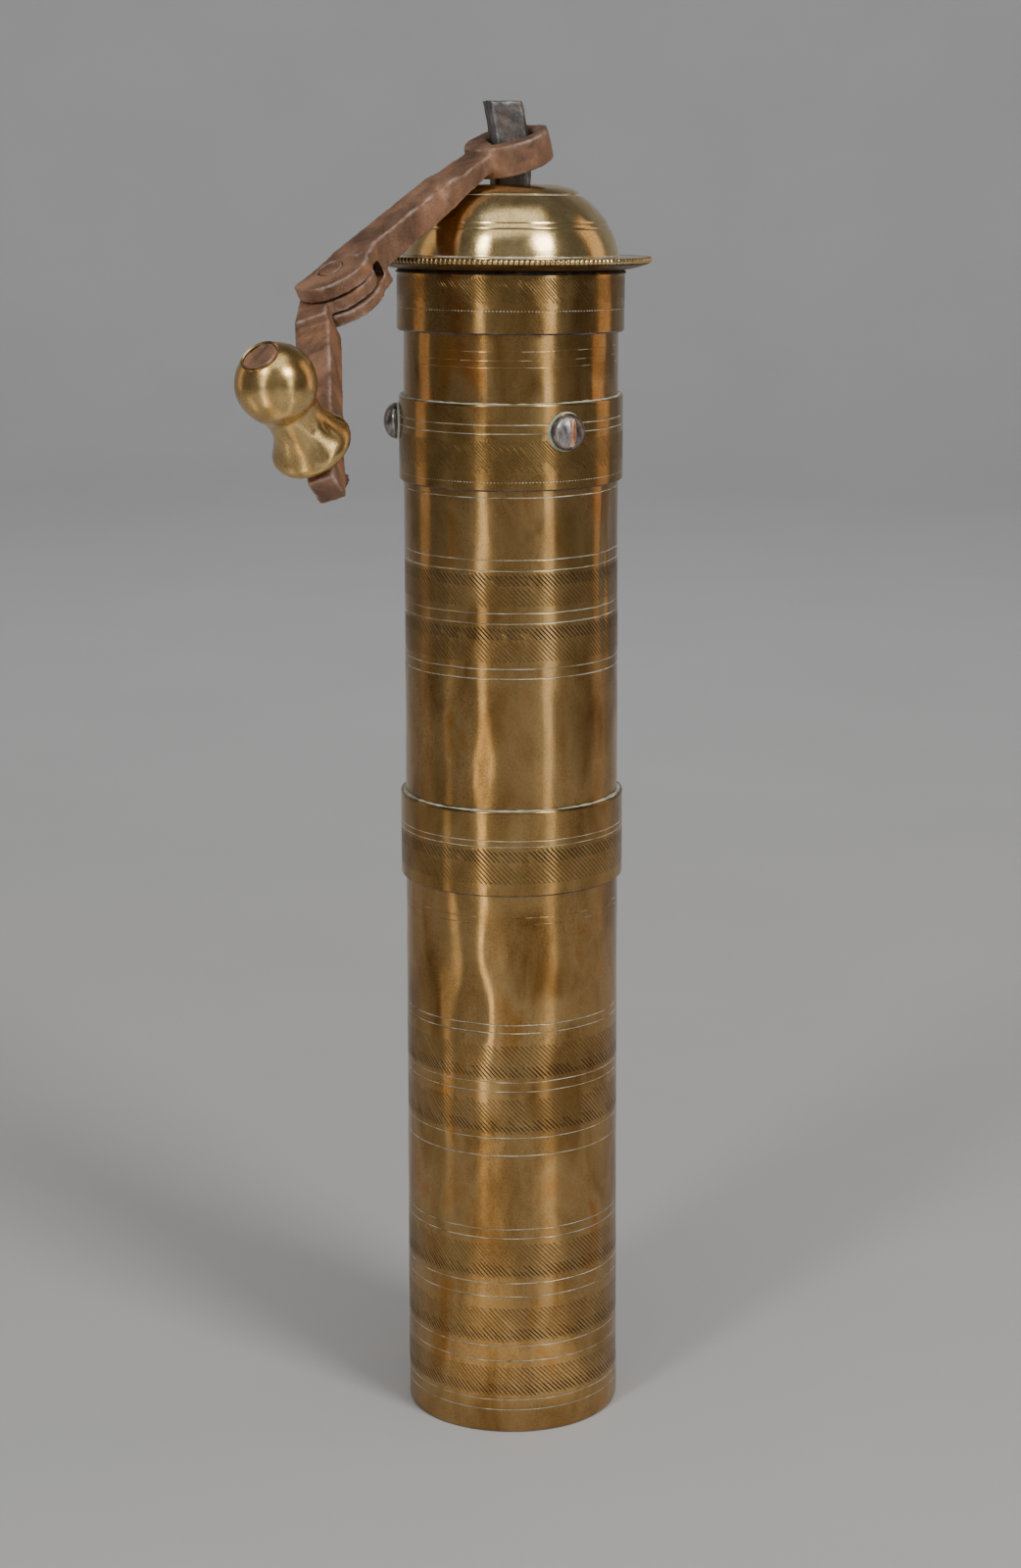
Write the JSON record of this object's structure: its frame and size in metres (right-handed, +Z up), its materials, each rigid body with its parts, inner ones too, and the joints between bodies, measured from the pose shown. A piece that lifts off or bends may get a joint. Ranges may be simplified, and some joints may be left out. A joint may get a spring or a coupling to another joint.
{
  "type": "pepper mill",
  "caption": "Tall cylindrical brass hand mill for pepper, with engraved tubes, a domed lid and a folding iron crank with a turned brass knob.",
  "frame": {"origin": "middle of the flat face that the mill stands on", "axes": "+Z up along the spindle; +Y away from the engraved front; the crank reaches towards -X and -Y"},
  "size_m": [0.0895, 0.1276, 0.315],
  "materials": {
    "tube_brass": "aged golden-brown brass, polished by handling, engraved",
    "band_brass": "aged brass, softly polished",
    "lid_brass": "lathe-turned lighter brass",
    "knob_brass": "satin cast brass, worn by the hand",
    "crank_iron": "forged iron, brown with rust, bare at its edges",
    "spindle_iron": "worn square iron bar",
    "forged_iron": "dark forged iron",
    "burr_iron": "dark hardened iron with cut teeth",
    "pin_iron": "dark iron with riveted ends",
    "screw_steel": "dull steel"
  },
  "bodies": {
    "cup": {"cup_tube": "tube_brass", "cup_base": "tube_brass"},
    "mill": {"upper_tube": "tube_brass", "mid_band": "band_brass", "screw_band": "band_brass", "top_spider": "forged_iron", "spider_screw_left": "screw_steel", "spider_screw_front": "screw_steel", "spider_screw_back": "screw_steel", "outer_burr": "burr_iron", "bottom_bridge": "forged_iron", "bridge_screw_left": "screw_steel", "bridge_screw_right": "screw_steel"},
    "thrust": {"thrust_ball": "screw_steel"},
    "adjuster": {"adjusting_screw": "knob_brass"},
    "spindle": {"spindle": "spindle_iron", "spindle_collar": "forged_iron", "collar_pin": "pin_iron", "inner_burr": "burr_iron", "burr_pin": "pin_iron"},
    "lid": {"lid_dome": "lid_brass", "lid_skirt": "band_brass"},
    "crank": {"crank_inner_arm": "crank_iron", "crank_hinge_pin": "pin_iron"},
    "outer_arm": {"crank_outer_arm": "crank_iron", "knob_rivet": "pin_iron"},
    "knob": {"knob": "knob_brass"}
  },
  "joints": [
    {"name": "mill_lift", "type": "slide", "parent": "cup", "child": "mill", "axis": [0, 0, 1], "range_m": [0, 0.06]},
    {"name": "burr_gap", "type": "slide", "parent": "mill", "child": "thrust", "axis": [0, 0, 1], "range_m": [-0.00035, 0.00035]},
    {"name": "adjuster_turn", "type": "hinge", "parent": "thrust", "child": "adjuster", "pos_m": [0, 0, 0.1205], "axis": [0, 0, 1], "range_deg": [-180, 180]},
    {"name": "spindle_turn", "type": "hinge", "parent": "thrust", "child": "spindle", "pos_m": [0, 0, 0.2], "axis": [0, 0, 1], "continuous": true},
    {"name": "crank_lift", "type": "slide", "parent": "spindle", "child": "crank", "axis": [0, 0, 1], "range_m": [0, 0.08]},
    {"name": "lid_lift", "type": "slide", "parent": "mill", "child": "lid", "axis": [0, 0, 1], "range_m": [0, 0.06]},
    {"name": "crank_fold", "type": "hinge", "parent": "crank", "child": "outer_arm", "pos_m": [-0.03751, -0.03455, 0.2749], "axis": [-0.3678, -0.3388, 0.866], "range_deg": [-40.5, 94]},
    {"name": "knob_spin", "type": "hinge", "parent": "outer_arm", "child": "knob", "pos_m": [-0.04071, -0.07564, 0.24364], "axis": [-0.3692, -0.5161, 0.7728], "continuous": true}
  ],
  "couplings": [
    {"joint": "adjuster_turn", "follows": "burr_gap", "rad_per_m": 8976},
    {"joint": "lid_lift", "follows": "crank_lift", "ratio": 0.75}
  ]
}
